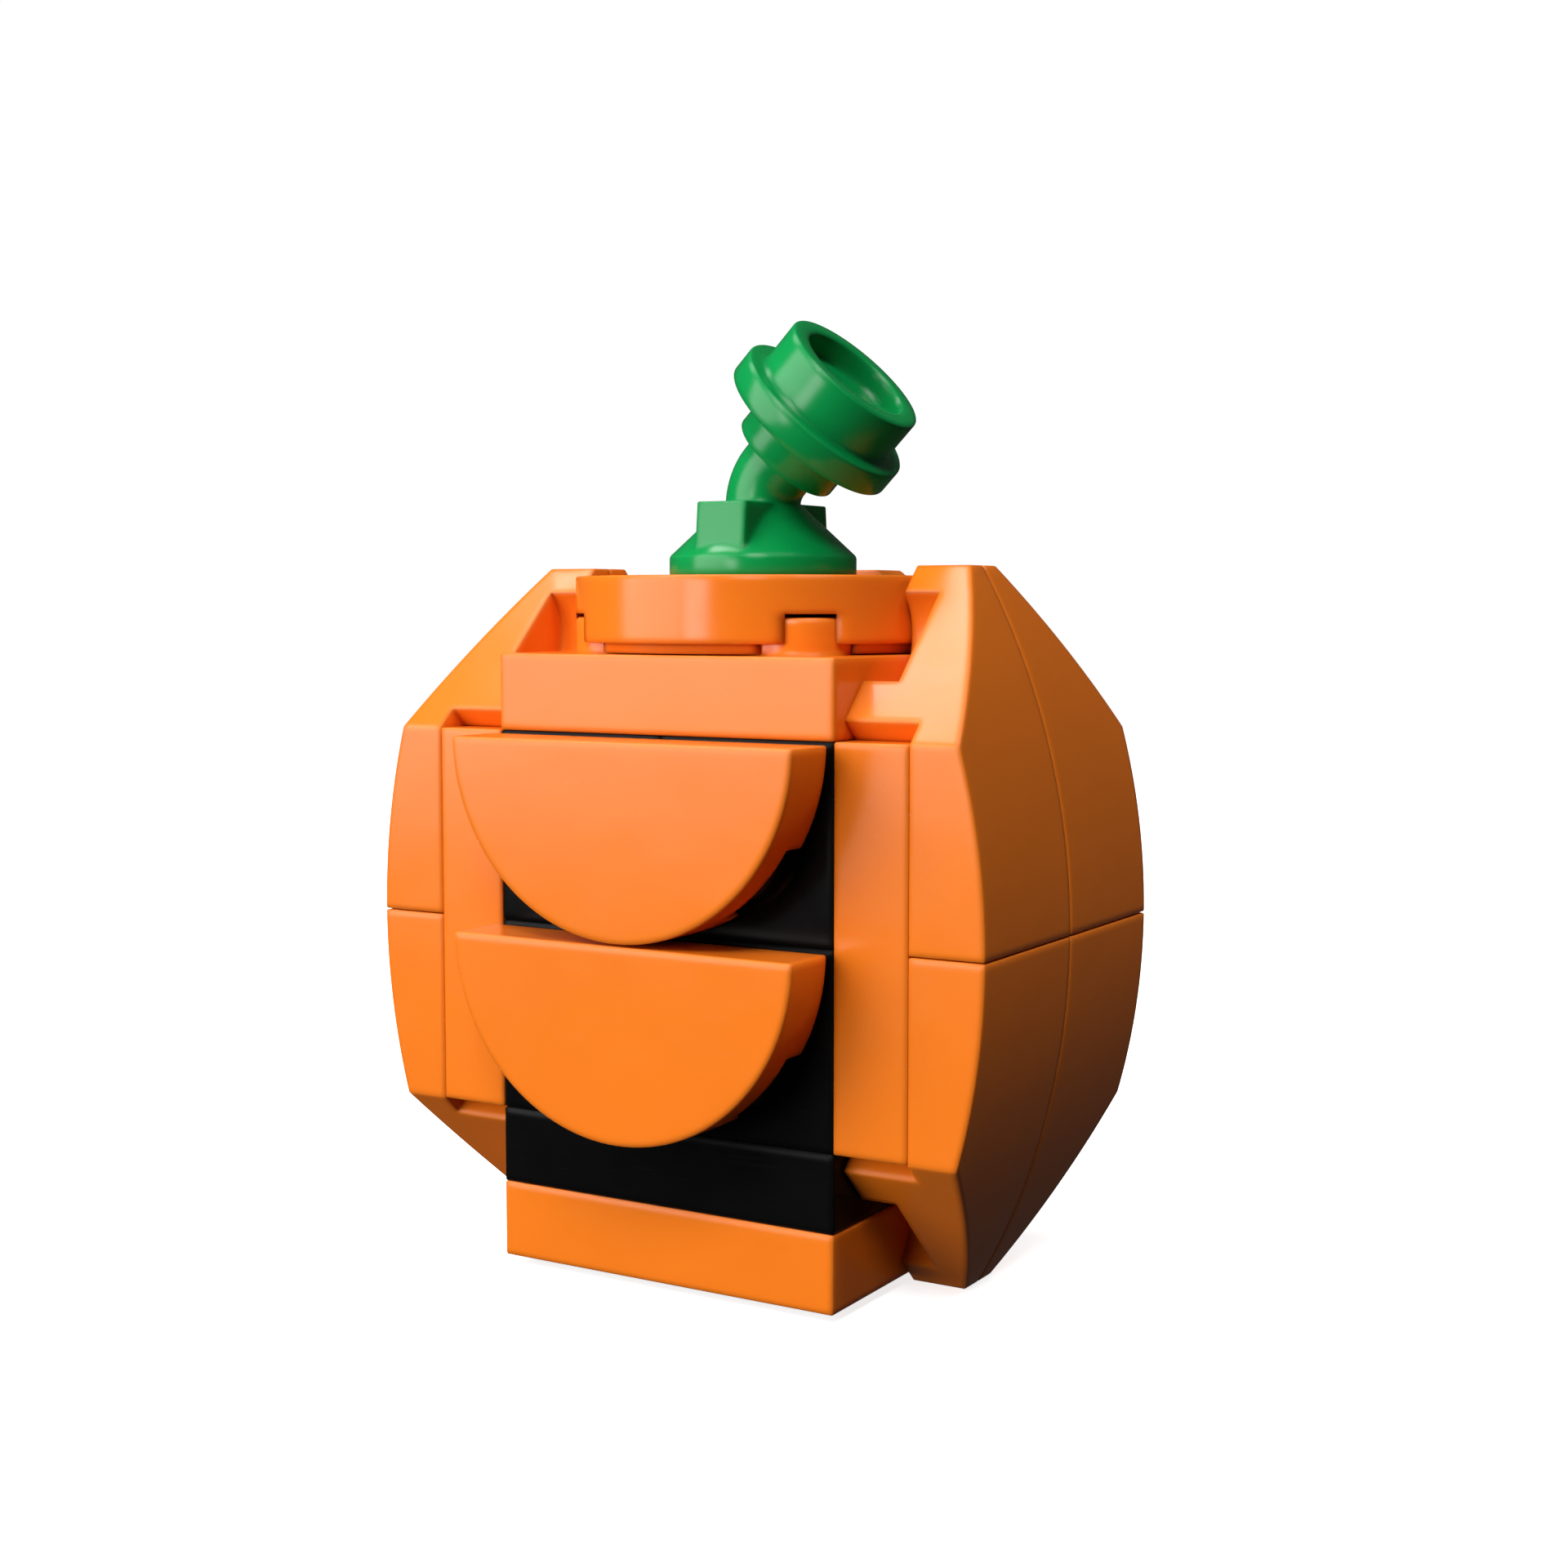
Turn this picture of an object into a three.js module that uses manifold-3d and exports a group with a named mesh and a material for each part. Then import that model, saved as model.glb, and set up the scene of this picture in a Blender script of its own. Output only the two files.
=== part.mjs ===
// Toy pumpkin lantern built from interlocking plastic toy bricks.
// Millimetres, +Z up, face towards -Y. The origin is at the middle of the footprint,
// on the surface that the feet under the three side panels stand on.

import * as THREE from "three";
import { mergeVertices } from "three/addons/utils/BufferGeometryUtils.js";
import Module from "manifold-3d";

const wasm = await Module();
wasm.setup();

// Driving dimensions of the brick grid
const pitch = 8;                  // from stud to stud
const plate = 3.2;                // height of one plate, and depth of a tile
const studRadius = 2.4;
const studHeight = 1.5;
const socketRadius = 2.48;        // recess that takes a stud
const socketDepth = 1.65;
const half = pitch;               // half the width of the two-stud column
const studOffset = pitch / 2;     // studs sit this far from the middle of a two-stud piece

// Heights of the column, measured from the underside of its base plate
const footDrop = 0.4;             // the feet reach this far below the base plate
const panelBottom = 2 * plate;
const middle = panelBottom + pitch;
const panelTop = middle + pitch;
const capBottom = panelTop + plate;
const capTop = capBottom + plate;

// Side panels: a plate on edge with four curved wedges over it
const sideThickness = plate;
const bulge = 6.4;                // how far the wedges stand out of the column at mid height
const tipBulge = 2.4;             // and at their tips
const wedgeHeight = 14.8;         // from mid height to the tip
const bulgeRadius = 29.4;         // radius of the curved outer surface
const clawReach = 1.6;            // the lip starts this far in from the wedge's corner
const lipNotchRadius = 2.45;
const lipNotchDepth = 1.6;
const lipNotchHeight = 12;        // above mid height

// Half-round tiles of the face
const tileRadius = 8;
const tileClearance = 0.1;        // below the piece above
const tileFoot = 0.5;             // thickness and inset of the stepped back
const tileMouthHalfWidth = 2;     // where each socket opens through the rim

// Round cap
const capRadius = 8;
const capFootHeight = 0.45;
const capFootInset = 0.5;
const capMouthHalfWidth = 1.06;   // where each socket opens through the rim

// Base plate, hollow underneath
const baseWall = 1.5;
const baseRoof = 1.0;
const tubeOuterRadius = 3.25;
const tubeInnerRadius = 2.4;

// Stem: a tap-shaped piece with a bent nozzle
const stemDiscRadius = 4;
const stemDiscHeight = 0.85;
const stemHeight = 3.1;           // top of the cone and of the cross bar
const barRadius = 1.6;
const crossBarHalfWidth = 1.2;
const crossBarHalfTop = 3.35;
const crossBarHalfFoot = 3.6;
const bendStart = 2.99;           // above the cap
const bendTangent = 0.88;         // from the bend's start to the corner of its centre lines
const nozzleTilt = THREE.MathUtils.degToRad(45);
const nozzleLength = 2.9;         // from the corner of the centre lines

// Stem tip: a small round plate, stud first on the nozzle. Distances along the nozzle.
const tipStudStart = 1.6;
const tipDiscStart = 3.2;
const tipDiscEnd = 4.4;
const tipRingEnd = 6.4;
const tipFloor = 5.4;
const tipDiscRadius = 4;
const tipRingRadius = 3.25;
const tipMouthRadius = 2.43;
const tipBoreRadius = 1.65;

const over = 1;                   // how far a cutter runs past the faces that it opens
const fine = 64;                  // facets round a large circle
const medium = 48;                // facets round the stem's foot and tip
const coarse = 32;                // facets round a stud, a bar or a socket
const bulgeSteps = 6;             // facets up a wedge's curve
const pipeSteps = 24;             // steps along the stem's bent bar
const weld = 1e-4;                // points closer than this are one

const orange = { color: 0xf58020, roughness: 0.3, metalness: 0 };
const black = { color: 0x0b0c0e, roughness: 0.3, metalness: 0 };
const green = { color: 0x0b8f45, roughness: 0.3, metalness: 0 };

// --- Solids -----------------------------------------------------------------

function toSolid(geometry) {
  const bare = geometry.clone();
  bare.deleteAttribute("normal");
  bare.deleteAttribute("uv");
  const merged = mergeVertices(bare, weld);
  return new wasm.Manifold(new wasm.Mesh({
    numProp: 3,
    vertProperties: new Float32Array(merged.attributes.position.array),
    triVerts: new Uint32Array(merged.index.array),
  }));
}

function toGeometry(solid) {
  const mesh = solid.getMesh();
  const geometry = new THREE.BufferGeometry();
  geometry.setAttribute("position", new THREE.BufferAttribute(mesh.vertProperties, 3));
  geometry.setIndex(new THREE.BufferAttribute(mesh.triVerts, 1));
  geometry.computeVertexNormals();
  return geometry;
}

// Joins the geometries of the first list and takes those of the second away.
function combine(joined, removed = []) {
  let solid = toSolid(joined[0]);
  for (const geometry of joined.slice(1)) {
    solid = solid.add(toSolid(geometry));
  }
  for (const geometry of removed) {
    solid = solid.subtract(toSolid(geometry));
  }
  return toGeometry(solid);
}

// Mirror image across the plane through the origin that is square to one axis.
function mirrored(geometry, axis) {
  const copy = geometry.clone();
  copy.scale(axis === "x" ? -1 : 1, axis === "y" ? -1 : 1, axis === "z" ? -1 : 1);
  const index = copy.index.array;
  for (let i = 0; i < index.length; i += 3) {
    [index[i], index[i + 1]] = [index[i + 1], index[i]];
  }
  copy.computeVertexNormals();
  return copy;
}

function box(x0, x1, y0, y1, z0, z1) {
  const geometry = new THREE.BoxGeometry(x1 - x0, y1 - y0, z1 - z0);
  return geometry.translate((x0 + x1) / 2, (y0 + y1) / 2, (z0 + z1) / 2);
}

function outline(points) {
  return new THREE.Shape(points.map(([a, b]) => new THREE.Vector2(a, b)));
}

// An outline drawn in (x, z), extruded from y0 to y1.
function prismAlongY(shape, y0, y1, curveSegments = coarse) {
  const geometry = new THREE.ExtrudeGeometry(shape, {
    depth: y1 - y0,
    bevelEnabled: false,
    curveSegments,
  });
  return geometry.rotateX(Math.PI / 2).translate(0, y1, 0);
}

// An outline drawn in (y, z), extruded from x0 to x1.
function prismAlongX(shape, x0, x1) {
  const geometry = new THREE.ExtrudeGeometry(shape, { depth: x1 - x0, bevelEnabled: false });
  const turn = new THREE.Matrix4().makeBasis(
    new THREE.Vector3(0, 1, 0),
    new THREE.Vector3(0, 0, 1),
    new THREE.Vector3(1, 0, 0),
  );
  return geometry.applyMatrix4(turn).translate(x0, 0, 0);
}

// A round bar from one point to another along an axis.
function cylinder(axis, radius, centre, from, to, segments = coarse) {
  const geometry = new THREE.CylinderGeometry(radius, radius, to - from, segments);
  const along = (from + to) / 2;
  if (axis === "x") {
    return geometry.rotateZ(-Math.PI / 2).translate(along, centre[0], centre[1]);
  }
  if (axis === "y") {
    return geometry.translate(centre[0], along, centre[1]);
  }
  return geometry.rotateX(Math.PI / 2).translate(centre[0], centre[1], along);
}

// A shape turned round the Z axis from (radius, height) points.
function turned(points, segments) {
  const profile = points.map(([radius, height]) => new THREE.Vector2(radius, height));
  return new THREE.LatheGeometry(profile, segments).rotateX(Math.PI / 2);
}

// Runs a maker for the four stud places of a two-by-two piece.
function atStuds(make) {
  const places = [];
  for (const a of [-studOffset, studOffset]) {
    for (const b of [-studOffset, studOffset]) {
      places.push(make([a, b]));
    }
  }
  return places;
}

// --- Column ------------------------------------------------------------------

function basePlate() {
  const roomTop = plate - baseRoof;
  const inner = half - baseWall;
  const slab = box(-half, half, -half, half, 0, plate);
  const room = box(-inner, inner, -inner, inner, -over, roomTop);
  const tube = cylinder("z", tubeOuterRadius, [0, 0], 0, roomTop + baseRoof / 2);
  const bore = cylinder("z", tubeInnerRadius, [0, 0], -over, roomTop);
  const walls = combine([slab], [room]);
  return combine([walls, tube], [bore]);
}

function lowerPlate() {
  return box(-half, half, -half, half, plate, panelBottom);
}

function core() {
  return box(-half, half, plate - half, half, panelBottom, panelTop);
}

function topPlate() {
  const slab = box(-half, half, -half, half, panelTop, capBottom);
  const studs = atStuds((place) => {
    return cylinder("z", studRadius, place, capBottom - over, capBottom + studHeight);
  });
  return combine([slab, ...studs]);
}

// One-stud block lying on its back, stud forwards, centred on its stud.
function faceBlock() {
  const front = -half;
  const block = box(-pitch / 2, pitch / 2, front, front + plate, -pitch / 2, pitch / 2);
  const stud = cylinder("y", studRadius, [0, 0], front - studHeight, front + over);
  return combine([block, stud]);
}

function roundCap() {
  const foot = capBottom + capFootHeight;
  const footRadius = capRadius - capFootInset;
  const disc = cylinder("z", capRadius, [0, 0], foot, capTop, fine);
  const step = cylinder("z", footRadius, [0, 0], capBottom, foot + over, fine);
  const sockets = atStuds((place) => {
    return cylinder("z", socketRadius, place, capBottom - over, capBottom + socketDepth);
  });
  const mouths = atStuds(([x, y]) => {
    const mouth = box(
      0, capRadius / 2,
      -capMouthHalfWidth, capMouthHalfWidth,
      capBottom - over, capBottom + socketDepth,
    );
    return mouth.rotateZ(Math.atan2(y, x)).translate(x, y, 0);
  });
  return combine([disc, step], [...sockets, ...mouths]);
}

// --- Face tiles --------------------------------------------------------------

// Half disc under its flat side, in (x, z) about the centre of its circle.
function halfDisc(radius, drop) {
  const start = Math.asin(drop / radius);
  const shape = new THREE.Shape();
  shape.absarc(0, 0, radius, -start, start - Math.PI, true);
  shape.closePath();
  return shape;
}

function halfRoundTile() {
  const back = -half;
  const front = back - plate;
  const rim = prismAlongY(halfDisc(tileRadius, tileClearance), front, back - tileFoot);
  const foot = prismAlongY(
    halfDisc(tileRadius - tileFoot, tileClearance + tileFoot),
    back - tileFoot - over,
    back,
  );
  const sockets = [-studOffset, studOffset].map((x) => {
    return cylinder("y", socketRadius, [x, -studOffset], back - socketDepth, back + over);
  });
  const mouths = [-1, 1].map((side) => {
    const mouth = box(
      0, tileRadius / 2,
      back - socketDepth, back + over,
      -tileMouthHalfWidth, tileMouthHalfWidth,
    );
    const outwards = Math.PI / 2 - side * Math.PI / 4;
    return mouth.rotateY(outwards).translate(side * studOffset, 0, -studOffset);
  });
  return combine([rim, foot], [...sockets, ...mouths]);
}

// --- Side panels -------------------------------------------------------------
// Drawn for the +X side: x runs outwards from the column, z from mid height.

function sidePlate() {
  return box(half, half + sideThickness, -half, half, -pitch, pitch);
}

// Section of a wedge in (x, z): hollow of the side plate, lip, tip and curved outside.
function wedgeSection() {
  const inner = half + sideThickness;
  const outer = half + bulge;
  const centre = outer - bulgeRadius;
  const shape = new THREE.Shape();
  shape.moveTo(inner, 0);
  shape.lineTo(outer, 0);
  shape.absarc(centre, 0, bulgeRadius, 0, Math.asin(wedgeHeight / bulgeRadius), false);
  shape.lineTo(half + tipBulge, wedgeHeight);
  shape.lineTo(half, wedgeHeight);
  shape.lineTo(half, pitch);
  shape.lineTo(inner, pitch);
  shape.closePath();
  return shape;
}

// Upper wedge over y = -8 to 0.
function wedge() {
  const body = prismAlongY(wedgeSection(), -pitch, 0, bulgeSteps);
  const reach = wedgeHeight + over;
  const cornerCut = outline([
    [-pitch, pitch],
    [reach - 2 * pitch, reach],
    [-pitch - over, reach],
    [-pitch - over, pitch],
  ]);
  const clawCut = outline([
    [-pitch - over, pitch - over],
    [clawReach - pitch + over, pitch - over],
    [-pitch - over, pitch + clawReach + over],
  ]);
  return combine([body], [
    prismAlongX(cornerCut, half - over, half + bulge + over),
    prismAlongX(clawCut, half - over, half + sideThickness),
    cylinder("x", lipNotchRadius, [-studOffset, lipNotchHeight], half - over, half + lipNotchDepth),
  ]);
}

// --- Stem --------------------------------------------------------------------
// Drawn from the top of the cap.

function stemPath() {
  const corner = bendStart + bendTangent;
  const aside = Math.sin(nozzleTilt);
  const up = Math.cos(nozzleTilt);
  const along = (distance) => {
    return new THREE.Vector3(distance * aside, 0, corner + distance * up);
  };
  const foot = new THREE.Vector3(0, 0, stemDiscHeight);
  const bend = new THREE.Vector3(0, 0, bendStart);
  const path = new THREE.CurvePath();
  path.add(new THREE.LineCurve3(foot, bend));
  path.add(new THREE.QuadraticBezierCurve3(bend, new THREE.Vector3(0, 0, corner), along(bendTangent)));
  path.add(new THREE.LineCurve3(along(bendTangent), along(nozzleLength)));
  return path;
}

function stemTap() {
  const cone = turned([
    [0, 0],
    [stemDiscRadius, 0],
    [stemDiscRadius, stemDiscHeight],
    [barRadius, stemHeight],
    [0, stemHeight],
  ], medium);
  const crossBar = prismAlongX(outline([
    [-crossBarHalfFoot, stemDiscHeight - over / 2],
    [crossBarHalfFoot, stemDiscHeight - over / 2],
    [crossBarHalfTop, stemHeight],
    [-crossBarHalfTop, stemHeight],
  ]), -crossBarHalfWidth, crossBarHalfWidth);
  const section = new THREE.Shape().absarc(0, 0, barRadius, 0, 2 * Math.PI, false);
  const pipe = new THREE.ExtrudeGeometry(section, {
    extrudePath: stemPath(),
    steps: pipeSteps,
    curveSegments: coarse / 2,
    bevelEnabled: false,
  });
  return combine([cone, crossBar, pipe]);
}

// Drawn with the nozzle's centre line as z.
function stemTip() {
  return turned([
    [0, tipDiscStart],
    [tipBoreRadius, tipDiscStart],
    [tipBoreRadius, tipStudStart],
    [studRadius, tipStudStart],
    [studRadius, tipDiscStart],
    [tipDiscRadius, tipDiscStart],
    [tipDiscRadius, tipDiscEnd],
    [tipRingRadius, tipDiscEnd],
    [tipRingRadius, tipRingEnd],
    [tipMouthRadius, tipRingEnd],
    [tipMouthRadius, tipFloor],
    [0, tipFloor],
  ], medium);
}

// --- Scene -------------------------------------------------------------------

function piece(name, geometry, look) {
  const mesh = new THREE.Mesh(geometry, new THREE.MeshStandardMaterial(look));
  mesh.name = name;
  return mesh;
}

// Column: its middle axis is z and its base plate's underside is at z = 0.
const column = new THREE.Group();
column.add(piece("base_plate", basePlate(), orange));
column.add(piece("lower_plate", lowerPlate(), black));
column.add(piece("core", core(), orange));
column.add(piece("top_plate", topPlate(), orange));
column.add(piece("round_cap", roundCap(), orange));

for (const [side, x] of [["left", -studOffset], ["right", studOffset]]) {
  for (const [level, z] of [["lower", middle - studOffset], ["upper", middle + studOffset]]) {
    const block = piece(`face_block_${side}_${level}`, faceBlock(), black);
    block.position.set(x, 0, z);
    column.add(block);
  }
}

for (const [level, z] of [["upper", panelTop], ["lower", middle]]) {
  const tile = piece(`half_round_${level}`, halfRoundTile(), orange);
  tile.position.z = z;
  column.add(tile);
}

// The same panel on three sides. Each side names its half at negative y first.
const sides = [
  { name: "right", turn: 0, halves: ["front", "rear"] },
  { name: "back", turn: Math.PI / 2, halves: ["right", "left"] },
  { name: "left", turn: Math.PI, halves: ["rear", "front"] },
];
const upperWedge = wedge();
for (const side of sides) {
  const panel = new THREE.Group();
  panel.rotation.z = side.turn;
  panel.position.z = middle;
  panel.add(piece(`side_plate_${side.name}`, sidePlate(), orange));
  side.halves.forEach((end, far) => {
    const upper = far ? mirrored(upperWedge, "y") : upperWedge;
    panel.add(piece(`wedge_${side.name}_${end}_upper`, upper, orange));
    panel.add(piece(`wedge_${side.name}_${end}_lower`, mirrored(upper, "z"), orange));
  });
  column.add(panel);
}

const stem = new THREE.Group();
stem.position.z = capTop;
stem.add(piece("stem_tap", stemTap(), green));
const tip = piece("stem_tip", stemTip(), green);
tip.position.z = bendStart + bendTangent;
tip.rotation.y = nozzleTilt;
stem.add(tip);
column.add(stem);

// The face tiles stand out in front and a panel stands out behind, so the column sits
// a little forwards of the footprint's middle.
column.position.set(0, (plate - bulge) / 2, footDrop);

const pumpkin = new THREE.Group();
pumpkin.add(column);

export default pumpkin;
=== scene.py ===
import math

import bmesh
import bpy
from mathutils import Matrix, Vector


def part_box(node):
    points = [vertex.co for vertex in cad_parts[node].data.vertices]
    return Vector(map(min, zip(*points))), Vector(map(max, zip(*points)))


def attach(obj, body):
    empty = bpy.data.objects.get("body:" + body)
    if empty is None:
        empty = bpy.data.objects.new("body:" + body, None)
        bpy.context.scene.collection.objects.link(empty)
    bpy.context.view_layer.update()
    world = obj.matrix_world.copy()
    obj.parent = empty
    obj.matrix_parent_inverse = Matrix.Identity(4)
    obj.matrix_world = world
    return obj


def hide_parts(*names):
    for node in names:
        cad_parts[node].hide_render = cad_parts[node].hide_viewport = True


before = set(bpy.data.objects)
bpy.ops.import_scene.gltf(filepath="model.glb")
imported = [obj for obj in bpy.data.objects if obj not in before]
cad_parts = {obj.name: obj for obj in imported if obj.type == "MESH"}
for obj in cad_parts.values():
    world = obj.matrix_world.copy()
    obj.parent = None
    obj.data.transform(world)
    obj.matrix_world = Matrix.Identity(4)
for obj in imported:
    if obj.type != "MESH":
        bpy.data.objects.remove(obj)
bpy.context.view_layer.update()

# The pieces are modelled in millimetres round the column's middle axis, with the underside
# of the base plate at height 0, and put into the frame in metres when they are finished.
toMetres = 0.001
baseLow, baseHigh = (Vector(corner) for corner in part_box("base_plate"))
columnFoot = Vector(((baseLow.x + baseHigh.x) / 2, (baseLow.y + baseHigh.y) / 2, baseLow.z))

grid = {
    "pitch": 8.0,            # stud to stud
    "plate": 3.2,            # height of one plate
    "studRadius": 2.4,
    "studHeight": 1.5,
    "studEdge": 0.18,
    "socketRadius": 2.48,    # recess that takes a stud
    "socketDepth": 1.65,
    "edge": 0.1,             # rounding of a moulded edge
    "softEdge": 0.42,        # how far from an edge its rounding shows in the light
    "seam": 0.025,           # how far a wedge stops short of what lies beside it
}
meshing = {
    "roundSides": 128,
    "studSides": 64,
    "edgeSteps": 3,
    "sharpAngle": 30,        # edges sharper than this are rounded, degrees
    "smoothAngle": 35,       # edges blunter than this are shaded smooth
    "flatWeight": 100,       # how far the large faces set the shading of their edges
    "endFace": 0.9,          # the normal of an end face reaches this along z
    "weld": 0.001,           # points closer than this become one
}
half = grid["pitch"]         # half of a two-stud width
studPlace = grid["pitch"] / 2
panelBottom = 2 * grid["plate"]
middle = panelBottom + grid["pitch"]
panelTop = middle + grid["pitch"]
capBottom = panelTop + grid["plate"]
capTop = capBottom + grid["plate"]
past = 1.0                   # how far a cutter runs past the faces that it opens
closeBy = 0.01               # heights closer than this count as the same

print("frame loaded, column foot at", [round(value, 5) for value in columnFoot])


cameraSetting = {
    "place": (48.45, -79.69, 27.62),     # from the column's foot, mm
    "turn": 30.750,                      # round the object to its right, degrees
    "down": 4.736,
    "roll": 0.008,
    "lens": 49.740,
    "sensor": 36.0,
    "nearest": 0.005,                    # what it sees, metres
    "farthest": 20,
}


def makeCamera(setting):
    data = bpy.data.cameras.new("photoCamera")
    data.lens = setting["lens"]
    data.sensor_width = setting["sensor"]
    data.sensor_fit = "HORIZONTAL"
    data.clip_start = setting["nearest"]
    data.clip_end = setting["farthest"]
    camera = bpy.data.objects.new("photoCamera", data)
    bpy.context.scene.collection.objects.link(camera)
    place = columnFoot + Vector(setting["place"]) * toMetres
    turn = Matrix.Rotation(math.radians(setting["turn"]), 4, "Z")
    tilt = Matrix.Rotation(math.radians(90 - setting["down"]), 4, "X")
    roll = Matrix.Rotation(math.radians(setting["roll"]), 4, "Z")
    camera.matrix_world = Matrix.Translation(place) @ turn @ tilt @ roll
    bpy.context.scene.camera = camera


lampAim = Vector((0, 0, 0.018))          # metres, as the distance and the sizes are
lampDistance = 0.6
lampSettings = [
    # azimuth from the front towards +X and elevation in degrees
    {"name": "keyBox", "azimuth": -40, "elevation": 21, "size": (0.485, 0.585), "power": 4.25},
    {"name": "frontBox", "azimuth": -9.3, "elevation": 5.5, "size": (0.156, 0.22), "power": 0.9},
    {"name": "rightHighBox", "azimuth": 20, "elevation": 50, "size": (0.17, 0.17), "power": 1.9},
    {"name": "leftTopBox", "azimuth": -95, "elevation": 65, "size": (0.174, 0.23), "power": 1.16},
    {"name": "rightTopBox", "azimuth": 85, "elevation": 68, "size": (0.21, 0.21), "power": 1.25},
    {"name": "backBox", "azimuth": -162, "elevation": 12, "size": (0.38, 0.38), "power": 2.2,
     "mirrored": False},
]


def addLamp(setting):
    data = bpy.data.lights.new(setting["name"], "AREA")
    data.shape = "RECTANGLE"
    data.size, data.size_y = setting["size"]
    data.energy = setting["power"]
    lamp = bpy.data.objects.new(setting["name"], data)
    lamp.visible_glossy = setting.get("mirrored", True)
    bpy.context.scene.collection.objects.link(lamp)
    azimuth = math.radians(setting["azimuth"])
    elevation = math.radians(setting["elevation"])
    away = Vector((math.sin(azimuth) * math.cos(elevation),
                   -math.cos(azimuth) * math.cos(elevation), math.sin(elevation)))
    turn = (-away).to_track_quat("-Z", "Y")
    lamp.matrix_world = (Matrix.Translation(lampAim + away * lampDistance)
                         @ turn.to_matrix().to_4x4())


stageSetting = {
    "floorSize": 6.0,        # metres, as the reaches are
    "floorGrey": 0.80,
    "floorGlow": 0.78,       # lifts the floor to white, so that only soft shadows show
    "shadowReach": 0.10,     # past this the floor fades into the white behind it
    "whiteReach": 0.45,
    "worldWhite": 1.0,
    "worldFill": 0.042,
}


def makeFloor(setting):
    material = bpy.data.materials.new("paleFloor")
    material.use_nodes = True
    tree = material.node_tree
    tree.nodes.clear()
    output = tree.nodes.new("ShaderNodeOutputMaterial")
    close = tree.nodes.new("ShaderNodeBsdfDiffuse")
    close.inputs["Color"].default_value = (setting["floorGrey"],) * 3 + (1,)
    glow = tree.nodes.new("ShaderNodeEmission")
    glow.inputs["Strength"].default_value = setting["floorGlow"]
    lifted = tree.nodes.new("ShaderNodeAddShader")
    far = tree.nodes.new("ShaderNodeEmission")
    far.inputs["Strength"].default_value = setting["worldWhite"]
    place = tree.nodes.new("ShaderNodeTexCoord")
    reach = tree.nodes.new("ShaderNodeVectorMath")
    reach.operation = "LENGTH"
    fade = tree.nodes.new("ShaderNodeMapRange")
    fade.interpolation_type = "SMOOTHSTEP"
    fade.inputs["From Min"].default_value = setting["shadowReach"]
    fade.inputs["From Max"].default_value = setting["whiteReach"]
    seen = tree.nodes.new("ShaderNodeMixShader")
    tree.links.new(place.outputs["Object"], reach.inputs[0])
    tree.links.new(reach.outputs["Value"], fade.inputs["Value"])
    tree.links.new(fade.outputs["Result"], seen.inputs[0])
    tree.links.new(close.outputs[0], lifted.inputs[0])
    tree.links.new(glow.outputs[0], lifted.inputs[1])
    tree.links.new(lifted.outputs[0], seen.inputs[1])
    tree.links.new(far.outputs[0], seen.inputs[2])
    tree.links.new(seen.outputs[0], output.inputs["Surface"])
    bpy.ops.mesh.primitive_plane_add(size=setting["floorSize"], location=(0, 0, 0))
    floor = bpy.context.object
    floor.name = "studioFloor"
    floor.data.materials.append(material)
    floor.visible_diffuse = False        # it gives no light back, and the low lamps pass it
    floor.visible_glossy = False
    floor.visible_shadow = False


def makeWorld(setting):
    # white to the camera, and a little light from all sides
    world = bpy.data.worlds.new("studioWorld")
    world.use_nodes = True
    bpy.context.scene.world = world
    tree = world.node_tree
    tree.nodes.clear()
    output = tree.nodes.new("ShaderNodeOutputWorld")
    path = tree.nodes.new("ShaderNodeLightPath")
    mix = tree.nodes.new("ShaderNodeMixShader")
    for socket, strength in ((1, setting["worldFill"]), (2, setting["worldWhite"])):
        white = tree.nodes.new("ShaderNodeBackground")
        white.inputs["Color"].default_value = (1, 1, 1, 1)
        white.inputs["Strength"].default_value = strength
        tree.links.new(white.outputs[0], mix.inputs[socket])
    tree.links.new(path.outputs["Is Camera Ray"], mix.inputs[0])
    tree.links.new(mix.outputs[0], output.inputs["Surface"])


def deselectAll():
    if bpy.context.mode != "OBJECT":
        bpy.ops.object.mode_set(mode="OBJECT")
    bpy.ops.object.select_all(action="DESELECT")


deselectAll()
bpy.context.scene.view_settings.view_transform = "Standard"
makeCamera(cameraSetting)
makeFloor(stageSetting)
makeWorld(stageSetting)
for lampSetting in lampSettings:
    addLamp(lampSetting)
print("camera, floor and lamps placed")


moulding = {
    # the scales are cells of the noise for each millimetre
    "cloudScale": 0.16,
    "cloudRange": (0.3, 0.7),              # the part of the noise that shades the pigment
    "cloudShade": (0.82, 1.0),
    "rubScale": 1.4,                       # breaks up the worn edges
    "rubGain": 0.9,
    "rubStart": -0.1,
    "rubRoughness": 0.12,
    "scratchScale": 2.2,
    "scratchStretch": (0.12, 3.0, 3.0),
    "scratchTurns": ((0.3, 0.9, 0.4), (1.1, 0.2, 2.0)),
    "scratchLimit": 0.70,                  # noise above this is a scratch
    "scratchDepth": 0.015,
    "smearScale": 0.45,
    "smearReach": 0.12,                    # how far smears spread the roughness
    "waveScale": 0.35,
    "grainScale": 14.0,
    "grainHeight": 0.02,
    "reliefHeight": 0.05,                  # of the waves, mm
    "edgeSamples": 6,
}


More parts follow.
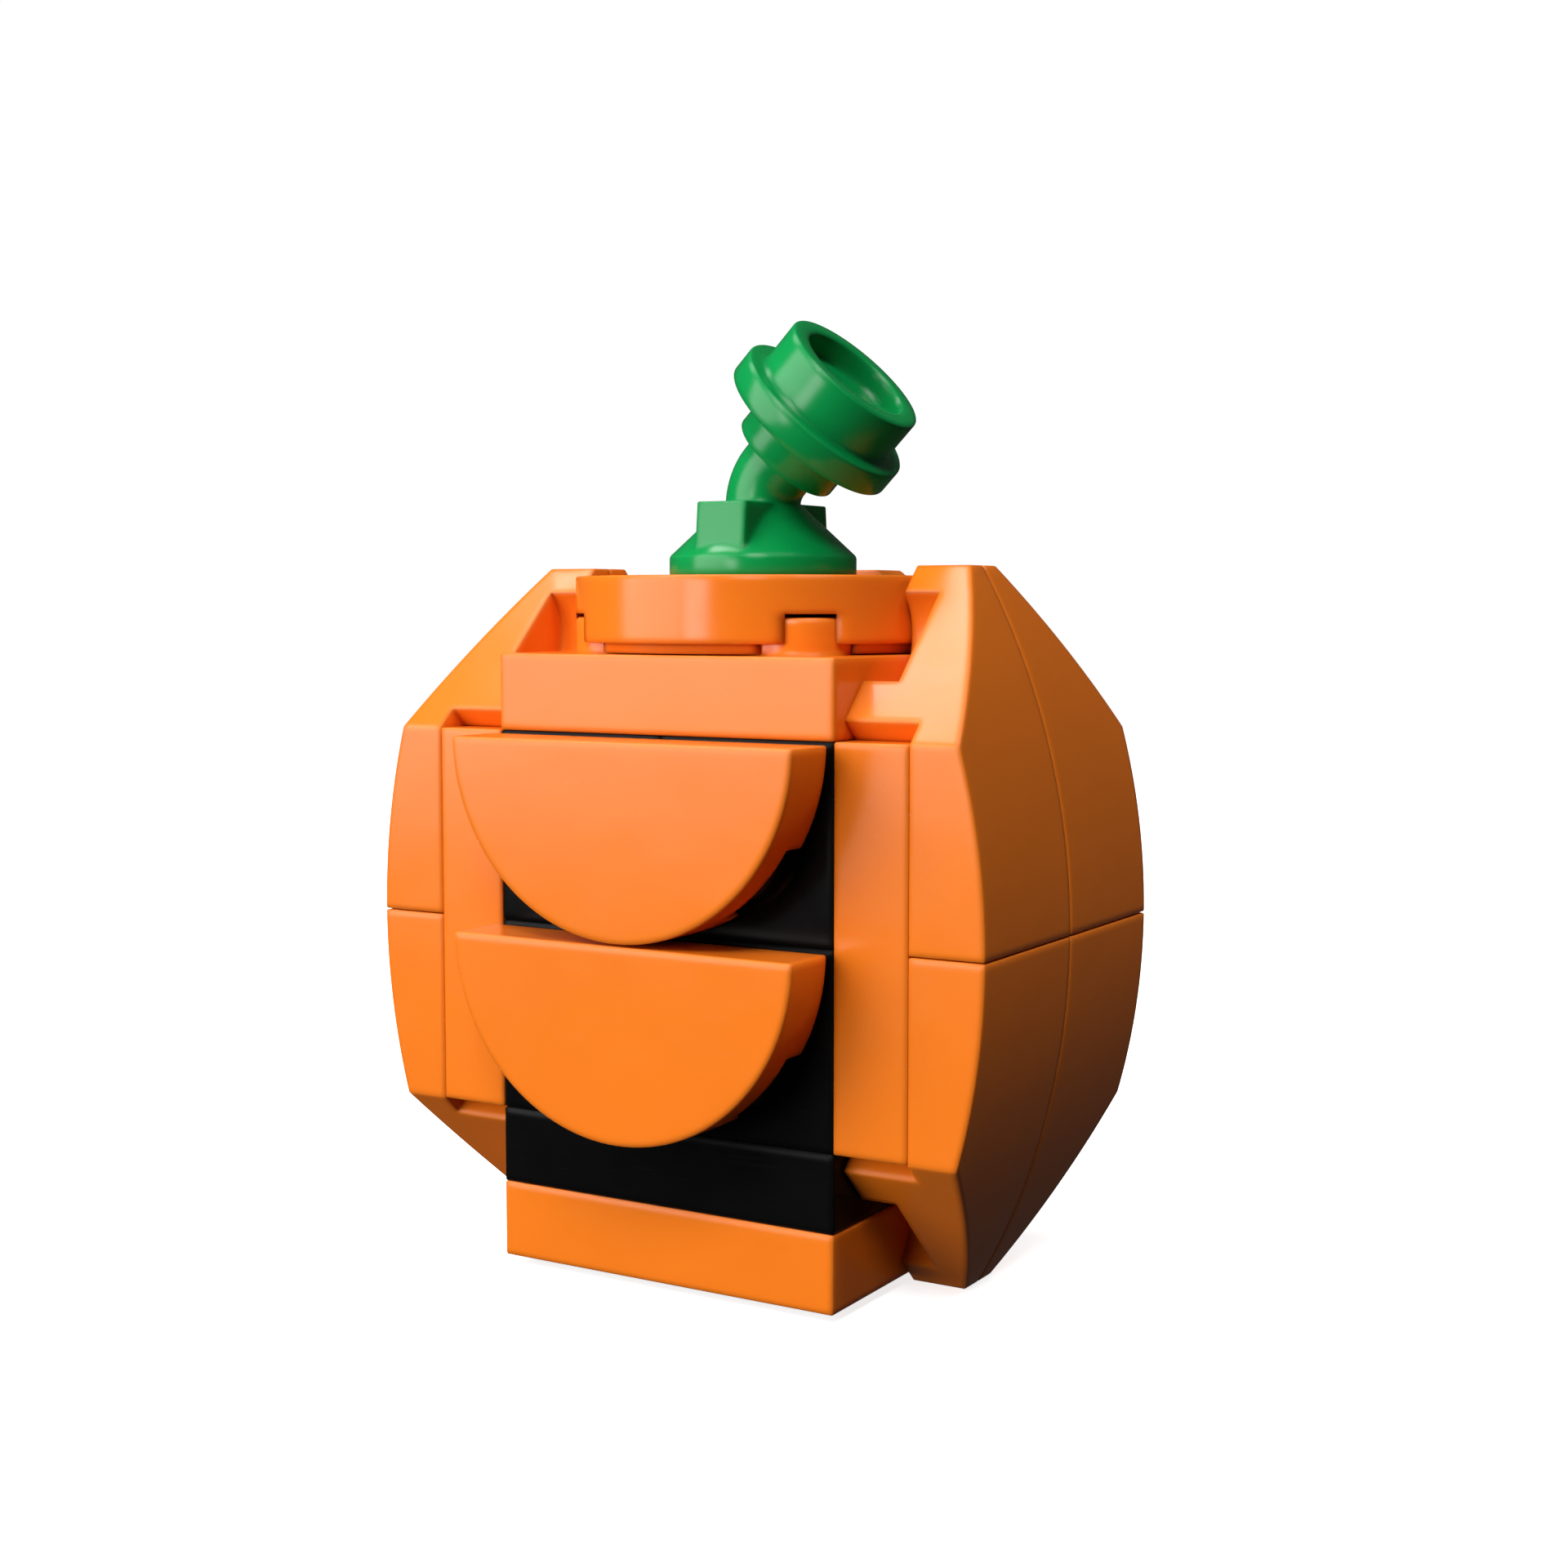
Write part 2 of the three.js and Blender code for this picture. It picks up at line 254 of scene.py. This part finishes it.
def makeMouldedPlastic(setting):
    # Colour, roughness and normal of a moulded brick: clouds in the pigment, paler worn
    # edges, fine handling scratches and the faint waves that moulded faces cool with.
    group = bpy.data.node_groups.new("mouldedPlastic", "ShaderNodeTree")
    for name in ("Pigment", "Worn Pigment"):
        group.interface.new_socket(name=name, in_out="INPUT", socket_type="NodeSocketColor")
    for name in ("Clouds", "Base Roughness", "Scratches", "Waves"):
        group.interface.new_socket(name=name, in_out="INPUT", socket_type="NodeSocketFloat")
    for name, kind in (("Color", "Color"), ("Roughness", "Float"), ("Normal", "Vector")):
        group.interface.new_socket(name=name, in_out="OUTPUT", socket_type="NodeSocket" + kind)
    nodes = group.nodes
    link = group.links.new
    inside = nodes.new("NodeGroupInput")
    outside = nodes.new("NodeGroupOutput")
    place = nodes.new("ShaderNodeTexCoord")
    millimetres = nodes.new("ShaderNodeMapping")
    millimetres.inputs["Scale"].default_value = (1 / toMetres,) * 3
    link(place.outputs["Object"], millimetres.inputs["Vector"])

    def noise(scale, detail, stretch=None, turn=None):
        texture = nodes.new("ShaderNodeTexNoise")
        texture.inputs["Scale"].default_value = scale
        texture.inputs["Detail"].default_value = detail
        source = millimetres
        if stretch is not None:
            source = nodes.new("ShaderNodeMapping")
            source.inputs["Scale"].default_value = stretch
            source.inputs["Rotation"].default_value = turn
            link(millimetres.outputs["Vector"], source.inputs["Vector"])
        link(source.outputs["Vector"], texture.inputs["Vector"])
        return texture.outputs["Fac"]

    def maths(kind, *values):
        node = nodes.new("ShaderNodeMath")
        node.operation = kind
        for index, value in enumerate(values):
            if isinstance(value, (int, float)):
                node.inputs[index].default_value = value
            else:
                link(value, node.inputs[index])
        return node.outputs[0]

    def blend(kind, amount, first, second):
        node = nodes.new("ShaderNodeMix")
        node.data_type = "RGBA"
        node.blend_type = kind
        link(amount, node.inputs[0])
        link(first, node.inputs[6])      # its two colour inputs and its colour output
        link(second, node.inputs[7])
        return node.outputs[2]

    # pigment clouds
    shade = nodes.new("ShaderNodeMapRange")
    for socket, value in zip(("From Min", "From Max", "To Min", "To Max"),
                             setting["cloudRange"] + setting["cloudShade"]):
        shade.inputs[socket].default_value = value
    link(noise(setting["cloudScale"], 3), shade.inputs["Value"])
    grey = nodes.new("ShaderNodeCombineColor")
    for channel in ("Red", "Green", "Blue"):
        link(shade.outputs[0], grey.inputs[channel])
    clouded = blend("MULTIPLY", inside.outputs["Clouds"], inside.outputs["Pigment"],
                    grey.outputs[0])

    # worn edges, broken up
    edge = nodes.new("ShaderNodeAttribute")
    edge.attribute_name = "edgeWear"
    rub = maths("MULTIPLY_ADD", noise(setting["rubScale"], 4), setting["rubGain"],
                setting["rubStart"])
    worn = maths("MULTIPLY", edge.outputs["Fac"], rub)
    link(blend("MIX", worn, clouded, inside.outputs["Worn Pigment"]), outside.inputs["Color"])

    # two directions of thin scratches, and the smears of handling
    marks = maths("MAXIMUM", *(
        maths("GREATER_THAN",
              noise(setting["scratchScale"], 2, setting["scratchStretch"], turn),
              setting["scratchLimit"])
        for turn in setting["scratchTurns"]))
    smear = maths("MULTIPLY_ADD", noise(setting["smearScale"], 5), setting["smearReach"],
                  -setting["smearReach"] / 2)
    rough = maths("ADD", inside.outputs["Base Roughness"], smear)
    rough = maths("ADD", rough, maths("MULTIPLY", marks, inside.outputs["Scratches"]))
    rough = maths("ADD", rough, maths("MULTIPLY", worn, setting["rubRoughness"]))
    link(rough, outside.inputs["Roughness"])

    # moulding waves and a trace of grain
    grain = maths("MULTIPLY", noise(setting["grainScale"], 2), setting["grainHeight"])
    height = maths("ADD", noise(setting["waveScale"], 1), grain)
    height = maths("SUBTRACT", height, maths("MULTIPLY", marks, setting["scratchDepth"]))
    soft = nodes.new("ShaderNodeBevel")      # the light rolls softly over every edge
    soft.samples = setting["edgeSamples"]
    soft.inputs["Radius"].default_value = grid["softEdge"] * toMetres
    bump = nodes.new("ShaderNodeBump")
    bump.inputs["Distance"].default_value = setting["reliefHeight"] * toMetres
    link(soft.outputs["Normal"], bump.inputs["Normal"])
    link(inside.outputs["Waves"], bump.inputs["Strength"])
    link(height, bump.inputs["Height"])
    link(bump.outputs["Normal"], outside.inputs["Normal"])
    return group


mouldedPlastic = makeMouldedPlastic(moulding)

plasticRefraction = 1.5
skinScale = 0.6              # how far light spreads under the surface, mm
finishSettings = {
    "orange_plastic": {
        "pigment": (0.80, 0.181, 0.0107),
        "worn": (0.86, 0.215, 0.02),
        "clouds": 0.25,
        "roughness": 0.20,
        "shine": 0.31,                   # level of the mirrored light
        "scratches": 0.05,
        "waves": 0.35,
        "skin": 0.05,                    # share of the light that goes under the surface
        "skinReach": (1.0, 0.35, 0.1),   # of its red, green and blue
    },
    "black_plastic": {
        "pigment": (0.003, 0.003, 0.003),
        "worn": (0.006, 0.006, 0.006),
        "clouds": 0.5,
        "roughness": 0.20,
        "shine": 0.08,
        "scratches": 0.06,
        "waves": 0.3,
        "skin": 0.0,
        "skinReach": (1.0, 1.0, 1.0),
    },
    "green_plastic": {
        "pigment": (0.0025, 0.25, 0.056),
        "worn": (0.008, 0.29, 0.075),
        "clouds": 0.25,
        "roughness": 0.20,
        "shine": 0.28,
        "scratches": 0.05,
        "waves": 0.35,
        "skin": 0.04,
        "skinReach": (0.3, 1.0, 0.5),
    },
}


def makeFinish(name, setting):
    material = bpy.data.materials.new(name)
    material.use_nodes = True
    tree = material.node_tree
    shader = tree.nodes["Principled BSDF"]
    plastic = tree.nodes.new("ShaderNodeGroup")
    plastic.node_tree = mouldedPlastic
    plastic.inputs["Pigment"].default_value = setting["pigment"] + (1,)
    plastic.inputs["Worn Pigment"].default_value = setting["worn"] + (1,)
    plastic.inputs["Clouds"].default_value = setting["clouds"]
    plastic.inputs["Base Roughness"].default_value = setting["roughness"]
    plastic.inputs["Scratches"].default_value = setting["scratches"]
    plastic.inputs["Waves"].default_value = setting["waves"]
    tree.links.new(plastic.outputs["Color"], shader.inputs["Base Color"])
    tree.links.new(plastic.outputs["Roughness"], shader.inputs["Roughness"])
    tree.links.new(plastic.outputs["Normal"], shader.inputs["Normal"])
    shader.inputs["IOR"].default_value = plasticRefraction
    shader.inputs["Specular IOR Level"].default_value = setting["shine"]
    shader.inputs["Subsurface Weight"].default_value = setting["skin"]
    shader.inputs["Subsurface Radius"].default_value = setting["skinReach"]
    shader.inputs["Subsurface Scale"].default_value = skinScale * toMetres
    return material


finishes = {name: makeFinish(name, setting) for name, setting in finishSettings.items()}
edgeMarker = bpy.data.materials.new("edgeMarker")      # marks rounded edges while modelling
print("finishes made:", ", ".join(finishes))


def activate(piece):
    deselectAll()
    piece.select_set(True)
    bpy.context.view_layer.objects.active = piece


def startPiece(name):
    piece = bpy.context.object
    piece.name = name
    bpy.ops.object.transform_apply(location=True, rotation=True, scale=True)
    return piece


def addBlock(name, low, high):
    deselectAll()
    centre = [(a + b) / 2 for a, b in zip(low, high)]
    size = [b - a for a, b in zip(low, high)]
    bpy.ops.mesh.primitive_cube_add(size=1, location=centre)
    bpy.context.object.scale = size
    return startPiece(name)


def addRound(name, radius, low, high, centre=(0, 0), sides=meshing["studSides"], axis="z"):
    # centre is given in the two directions square to the axis
    deselectAll()
    along = (low + high) / 2
    place = {"z": (*centre, along), "y": (centre[0], along, centre[1]),
             "x": (along, *centre)}[axis]
    turn = {"z": (0, 0, 0), "y": (math.pi / 2, 0, 0), "x": (0, math.pi / 2, 0)}[axis]
    bpy.ops.mesh.primitive_cylinder_add(vertices=sides, radius=radius, depth=high - low,
                                        location=place, rotation=turn)
    return startPiece(name)


def editEnd(piece, way):
    # opens the piece with the faces picked that look up, for 1, or down, for -1
    activate(piece)
    bpy.ops.object.mode_set(mode="EDIT")
    bpy.ops.mesh.select_mode(type="FACE")
    bpy.ops.mesh.select_all(action="DESELECT")
    shape = bmesh.from_edit_mesh(piece.data)
    for face in shape.faces:
        face.select_set(face.normal.z * way > meshing["endFace"])
    bmesh.update_edit_mesh(piece.data)


def pull(step):
    # draws the picked faces out or in, with walls behind them
    bpy.ops.mesh.extrude_region_move(TRANSFORM_OT_translate={"value": step})


def weldAll():
    bpy.ops.mesh.select_all(action="SELECT")
    bpy.ops.mesh.remove_doubles(threshold=meshing["weld"])
    bpy.ops.mesh.normals_make_consistent(inside=False)
    bpy.ops.object.mode_set(mode="OBJECT")


def roundEdges(piece, width=grid["edge"], wanted=None):
    # every sharp edge, or those of them that are wanted
    if len(piece.data.materials) < 2:
        piece.data.materials.clear()
        piece.data.materials.append(None)
        piece.data.materials.append(edgeMarker)
    activate(piece)
    bpy.ops.object.mode_set(mode="EDIT")
    bpy.ops.mesh.select_mode(type="EDGE")
    bpy.ops.mesh.select_all(action="DESELECT")
    bpy.ops.mesh.edges_select_sharp(sharpness=math.radians(meshing["sharpAngle"]))
    if wanted is not None:
        shape = bmesh.from_edit_mesh(piece.data)
        for edge in shape.edges:
            if edge.select and not wanted(edge.verts[0].co, edge.verts[1].co):
                edge.select_set(False)
        bmesh.update_edit_mesh(piece.data)
    bpy.ops.mesh.bevel(offset=width, offset_type="OFFSET", affect="EDGES",
                       segments=meshing["edgeSteps"], clamp_overlap=False, material=1)
    bpy.ops.object.mode_set(mode="OBJECT")


def useTool(piece, tool, operation):
    activate(piece)
    modifier = piece.modifiers.new("combine", "BOOLEAN")
    modifier.operation = operation
    modifier.solver = "EXACT"
    modifier.object = tool
    bpy.ops.object.modifier_apply(modifier=modifier.name)
    mesh = tool.data
    bpy.data.objects.remove(tool)
    bpy.data.meshes.remove(mesh)


def join(piece, tool):
    useTool(piece, tool, "UNION")


def cut(piece, tool):
    useTool(piece, tool, "DIFFERENCE")


def keepInside(piece, tool):
    useTool(piece, tool, "INTERSECT")


def sliceOff(piece, point, normal):
    # cuts away what lies past a plane and closes the cut
    activate(piece)
    bpy.ops.object.mode_set(mode="EDIT")
    bpy.ops.mesh.select_all(action="SELECT")
    bpy.ops.mesh.bisect(plane_co=point, plane_no=normal, use_fill=True, clear_outer=True)
    weldAll()


def addStud(piece, centre, foot, axis="z", way=1):
    # a stud with a rounded rim, from foot along the axis, or against it where way is -1
    rim = foot + way * grid["studHeight"]
    root = foot - way * past / 2
    stud = addRound("stud", grid["studRadius"], min(root, rim), max(root, rim), centre, axis=axis)
    index = "xyz".index(axis)
    roundEdges(stud, grid["studEdge"],
               wanted=lambda a, b: max(abs(a[index] - rim), abs(b[index] - rim)) < closeBy)
    join(piece, stud)


def addMouth(setting, low, high, place):
    # a slot from the middle of a socket outwards along x, through the rim
    reach = setting["mouthHalfWidth"]
    slot = addBlock("mouth", (0, -reach, low), (setting["radius"] / 2, reach, high))
    bake(slot, place)
    return slot


def copyPiece(piece, name):
    copy = piece.copy()
    copy.data = piece.data.copy()
    copy.name = name
    bpy.context.scene.collection.objects.link(copy)
    return copy


def bake(piece, matrix):
    # moves the piece's own vertices and turns a mirrored shell right way out again
    piece.data.transform(matrix)
    if matrix.determinant() < 0:
        piece.data.flip_normals()
    piece.data.update()


def finishPiece(piece, node, slotName):
    # shading, worn-edge mask, scale and place, then the frame's calls
    mesh = piece.data
    flat = set()
    for face in mesh.polygons:
        if face.material_index == 0:
            flat.update(face.vertices)
    wear = mesh.attributes.new("edgeWear", "FLOAT", "POINT")
    for index in range(len(mesh.vertices)):
        wear.data[index].value = 0.0 if index in flat else 1.0
    for face in mesh.polygons:
        face.material_index = 0
    mesh.materials.clear()
    mesh.materials.append(finishes[slotName])
    bake(piece, Matrix.Translation(columnFoot) @ Matrix.Scale(toMetres, 4))
    activate(piece)
    bpy.ops.object.shade_smooth_by_angle(angle=math.radians(meshing["smoothAngle"]))
    weighted = piece.modifiers.new("evenShading", "WEIGHTED_NORMAL")
    weighted.keep_sharp = True
    weighted.weight = meshing["flatWeight"]
    bpy.ops.object.modifier_apply(modifier=weighted.name)
    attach(piece, "root")
    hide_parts(node)


basePlate = {
    "wall": 1.5,
    "roof": 1.0,
    "tubeOuter": 3.25,
    "tubeInner": 2.4,
    "tubeEdge": 0.12,
}


def makeBasePlate(setting):
    plate = addBlock("basePlateBrick", (-half, -half, 0), (half, half, grid["plate"]))
    roomTop = grid["plate"] - setting["roof"]
    editEnd(plate, -1)
    bpy.ops.mesh.inset(thickness=setting["wall"])
    pull((0, 0, roomTop))
    bpy.ops.object.mode_set(mode="OBJECT")
    roundEdges(plate)
    tube = addRound("tube", setting["tubeOuter"], 0, roomTop + past / 2)
    editEnd(tube, -1)
    bpy.ops.mesh.inset(thickness=setting["tubeOuter"] - setting["tubeInner"])
    pull((0, 0, roomTop))
    bpy.ops.object.mode_set(mode="OBJECT")
    roundEdges(tube, setting["tubeEdge"], wanted=lambda a, b: max(a.z, b.z) < closeBy)
    join(plate, tube)
    finishPiece(plate, "base_plate", "orange_plastic")


def makeLowerPlate():
    plate = addBlock("lowerPlateBrick", (-half, -half, grid["plate"]), (half, half, panelBottom))
    roundEdges(plate)
    finishPiece(plate, "lower_plate", "black_plastic")


def makeTopPlate():
    plate = addBlock("topPlateBrick", (-half, -half, panelTop), (half, half, capBottom))
    roundEdges(plate)
    for x in (-studPlace, studPlace):
        for y in (-studPlace, studPlace):
            addStud(plate, (x, y), capBottom)
    finishPiece(plate, "top_plate", "orange_plastic")


faceBlock = {
    "reach": grid["pitch"] / 2,
    "edge": 0.13,
}


def makeFaceBlocks(setting):
    # four one-stud blocks on their backs, studs forwards
    front = -half
    reach = setting["reach"]
    block = addBlock("faceBlock", (-reach, front, -reach), (reach, front + grid["plate"], reach))
    roundEdges(block, setting["edge"])
    addStud(block, (0, 0), front, axis="y", way=-1)
    for side, x in (("left", -studPlace), ("right", studPlace)):
        for level, z in (("lower", middle - studPlace), ("upper", middle + studPlace)):
            copy = copyPiece(block, f"faceBlock{side.title()}{level.title()}")
            bake(copy, Matrix.Translation((x, 0, z)))
            finishPiece(copy, f"face_block_{side}_{level}", "black_plastic")
    bpy.data.objects.remove(block)


makeBasePlate(basePlate)
makeLowerPlate()
makeTopPlate()
makeFaceBlocks(faceBlock)
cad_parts["core"].material_slots[0].material = finishes["orange_plastic"]
print("column bricks made")


roundCap = {
    "radius": 8.0,
    "footHeight": 0.45,
    "footInset": 0.5,
    "footEdge": 0.06,
    "seam": 0.05,            # the foot stops this far above the plate
    "mouthHalfWidth": 1.06,  # where each socket opens through the rim
}


def makeRoundCap(setting):
    foot = capBottom + setting["footHeight"]
    rest = capBottom + setting["seam"]
    cap = addRound("roundCapBrick", setting["radius"], foot, capTop, sides=meshing["roundSides"])
    roundEdges(cap)
    step = addRound("capFoot", setting["radius"] - setting["footInset"], rest, foot + past,
                    sides=meshing["roundSides"])
    roundEdges(step, setting["footEdge"], wanted=lambda a, b: max(a.z, b.z) < rest + closeBy)
    join(cap, step)
    low = capBottom - past
    high = capBottom + grid["socketDepth"]
    for x in (-studPlace, studPlace):
        for y in (-studPlace, studPlace):
            outwards = Matrix.Rotation(math.atan2(y, x), 4, "Z")
            cut(cap, addRound("socket", grid["socketRadius"], low, high, (x, y)))
            cut(cap, addMouth(setting, low, high, Matrix.Translation((x, y, 0)) @ outwards))
    finishPiece(cap, "round_cap", "orange_plastic")


makeRoundCap(roundCap)
print("round cap made")


faceTile = {
    "radius": 8.0,
    "clearance": 0.1,        # under the piece above
    "footInset": 0.5,
    "footDepth": 0.5,
    "mouthHalfWidth": 2.0,   # where each socket opens through the rim
}


def addHalfDisc(name, radius, drop, front, back):
    # a round slice with everything above the flat side cut off
    disc = addRound(name, radius, front, back, sides=meshing["roundSides"], axis="y")
    sliceOff(disc, (0, 0, -drop), (0, 0, 1))
    return disc


def makeFaceTiles(setting):
    back = -half
    front = back - grid["plate"]
    footFront = back - setting["footDepth"]
    tile = addHalfDisc("halfRound", setting["radius"], setting["clearance"], front, footFront)
    roundEdges(tile)
    foot = addHalfDisc("halfRoundFoot", setting["radius"] - setting["footInset"],
                       setting["clearance"] + setting["footInset"], footFront - past, back)
    join(tile, foot)
    lieBack = Matrix.Rotation(math.radians(90), 4, "X")      # z points forwards, to -y
    low = back - grid["socketDepth"]
    high = back + past
    for x in (-studPlace, studPlace):
        outwards = lieBack @ Matrix.Rotation(math.atan2(-studPlace, x), 4, "Z")
        cut(tile, addRound("socket", grid["socketRadius"], low, high, (x, -studPlace), axis="y"))
        cut(tile, addMouth(setting, -high, -low,
                           Matrix.Translation((x, 0, -studPlace)) @ outwards))
    for level, z in (("Upper", panelTop), ("Lower", middle)):
        copy = copyPiece(tile, f"halfRoundTile{level}")
        bake(copy, Matrix.Translation((0, 0, z)))
        finishPiece(copy, f"half_round_{level.lower()}", "orange_plastic")
    bpy.data.objects.remove(tile)


makeFaceTiles(faceTile)
print("face tiles made")


sidePanel = {
    "thickness": 3.2,        # the plate on edge under the wedges
    "bulge": 6.4,            # how far the wedges stand out at mid height
    "height": 14.8,          # from mid height to the tip
    "bulgeRadius": 29.4,
    "bulgeSides": 360,
    "clawReach": 1.6,
    "notchRadius": 2.45,
    "notchDepth": 1.6,
    "notchHeight": 12.0,
    "edge": 0.08,
}


def makeWedge(setting):
    # the upper wedge over y = -8 to 0 on the +x side, z from mid height
    seam = grid["seam"]
    inner = half + setting["thickness"] + seam
    outer = half + setting["bulge"]
    pitch = grid["pitch"]
    wedge = addBlock("wedge", (half, -pitch, seam), (outer, -seam, setting["height"]))
    cut(wedge, addBlock("room", (half - past, -pitch - past, -past), (inner, past, pitch)))
    keepInside(wedge, addRound("bulge", setting["bulgeRadius"], -pitch - past, past,
                               (outer - setting["bulgeRadius"], 0),
                               sides=setting["bulgeSides"], axis="y"))
    sliceOff(wedge, (0, -pitch, pitch), (0, -1, 1))
    clawRoot = -pitch + setting["clawReach"]
    claw = addBlock("claw", (half - past, -pitch - past, pitch - past),
                    (inner, clawRoot, pitch + 2 * setting["clawReach"]))
    sliceOff(claw, (0, clawRoot, pitch), (0, 1, 1))
    cut(wedge, claw)
    roundEdges(wedge, setting["edge"])
    cut(wedge, addRound("notch", setting["notchRadius"], half - past,
                        half + setting["notchDepth"], (-studPlace, setting["notchHeight"]),
                        axis="x"))
    return wedge


def makeSidePanels(setting):
    wedge = makeWedge(setting)
    plate = addBlock("sidePlate", (half, -half, -grid["pitch"]),
                     (half + setting["thickness"], half, grid["pitch"]))
    roundEdges(plate, setting["edge"])
    lift = Matrix.Translation((0, 0, middle))
    # each panel with its turn in degrees and the names of its two ends
    sides = (("right", 0, ("front", "rear")), ("back", 90, ("right", "left")),
             ("left", 180, ("rear", "front")))
    for side, degrees, ends in sides:
        turn = lift @ Matrix.Rotation(math.radians(degrees), 4, "Z")
        copy = copyPiece(plate, f"sidePlate{side.title()}")
        bake(copy, turn)
        finishPiece(copy, f"side_plate_{side}", "orange_plastic")
        for along, end in zip((1, -1), ends):
            for level, up in (("upper", 1), ("lower", -1)):
                copy = copyPiece(wedge, f"wedge{side.title()}{end.title()}{level.title()}")
                bake(copy, turn @ Matrix.Diagonal((1, along, up, 1)))
                finishPiece(copy, f"wedge_{side}_{end}_{level}", "orange_plastic")
    bpy.data.objects.remove(wedge)
    bpy.data.objects.remove(plate)


makeSidePanels(sidePanel)
print("side panels made")


stemTap = {
    "discRadius": 4.0,
    "discHeight": 0.85,
    "height": 3.1,
    "barRadius": 1.6,
    "crossHalfWidth": 1.2,
    "crossHalfTop": 3.35,
    "crossHalfFoot": 3.6,
    "crossEdge": 0.08,
    "bendStart": 2.99,
    "bendTangent": 0.88,
    "bendSteps": 14,
    "tilt": 45.0,
    "nozzleLength": 2.9,
    "sides": 96,
}

stemTip = {
    "studStart": 1.6,
    "discStart": 3.2,
    "discEnd": 4.4,
    "ringEnd": 6.4,
    "floor": 5.4,
    "discRadius": 4.0,
    "ringRadius": 3.25,
    "mouthRadius": 2.43,
    "boreRadius": 1.65,
    "sides": 128,
}


def makeStemTap(setting):
    # drawn from the top of the cap
    top = setting["height"]
    tap = addRound("stemTapPiece", setting["discRadius"], 0, setting["discHeight"],
                   sides=setting["sides"])
    narrow = setting["barRadius"] / setting["discRadius"]
    editEnd(tap, 1)
    pull((0, 0, top - setting["discHeight"]))
    bpy.ops.transform.resize(value=(narrow, narrow, 1), center_override=(0, 0, top))
    bpy.ops.object.mode_set(mode="OBJECT")
    roundEdges(tap, wanted=lambda a, b: max(a.z, b.z) < top - closeBy)

    low = setting["discHeight"] - past / 2
    cross = addBlock("crossBar", (-setting["crossHalfWidth"], -setting["crossHalfFoot"], low),
                     (setting["crossHalfWidth"], setting["crossHalfFoot"], top))
    taper = setting["crossHalfTop"] / setting["crossHalfFoot"]
    editEnd(cross, 1)
    bpy.ops.transform.resize(value=(1, taper, 1), center_override=(0, 0, top))
    bpy.ops.object.mode_set(mode="OBJECT")
    roundEdges(cross, setting["crossEdge"], wanted=lambda a, b: max(a.z, b.z) > low + closeBy)
    join(tap, cross)

    bendStart = setting["bendStart"]
    pipe = addRound("nozzle", setting["barRadius"], low, bendStart)
    tilt = math.radians(setting["tilt"])
    bendRadius = setting["bendTangent"] / math.tan(tilt / 2)
    straight = setting["nozzleLength"] - setting["bendTangent"]
    editEnd(pipe, 1)
    bpy.ops.mesh.spin(steps=setting["bendSteps"], angle=-tilt, axis=(0, 1, 0),
                      center=(bendRadius, 0, bendStart))
    pull((straight * math.sin(tilt), 0, straight * math.cos(tilt)))
    weldAll()
    join(tap, pipe)
    bake(tap, Matrix.Translation((0, 0, capTop)))
    finishPiece(tap, "stem_tap", "green_plastic")


def makeStemTip(setting, tap):
    # drawn with the nozzle's centre line as z, then leant over
    tip = addRound("stemTipPiece", setting["discRadius"], setting["discStart"],
                   setting["discEnd"], sides=setting["sides"])
    editEnd(tip, 1)
    bpy.ops.mesh.inset(thickness=setting["discRadius"] - setting["ringRadius"])
    pull((0, 0, setting["ringEnd"] - setting["discEnd"]))
    bpy.ops.mesh.inset(thickness=setting["ringRadius"] - setting["mouthRadius"])
    pull((0, 0, setting["floor"] - setting["ringEnd"]))
    bpy.ops.object.mode_set(mode="OBJECT")
    studHeight = setting["discStart"] - setting["studStart"]
    editEnd(tip, -1)
    bpy.ops.mesh.inset(thickness=setting["discRadius"] - grid["studRadius"])
    pull((0, 0, -studHeight))
    bpy.ops.mesh.inset(thickness=grid["studRadius"] - setting["boreRadius"])
    pull((0, 0, studHeight))
    bpy.ops.object.mode_set(mode="OBJECT")
    roundEdges(tip)
    corner = capTop + tap["bendStart"] + tap["bendTangent"]
    lean = Matrix.Rotation(math.radians(tap["tilt"]), 4, "Y")
    bake(tip, Matrix.Translation((0, 0, corner)) @ lean)
    finishPiece(tip, "stem_tip", "green_plastic")


makeStemTap(stemTap)
makeStemTip(stemTip, stemTap)
print("stem made")

deselectAll()
bpy.data.materials.remove(edgeMarker)
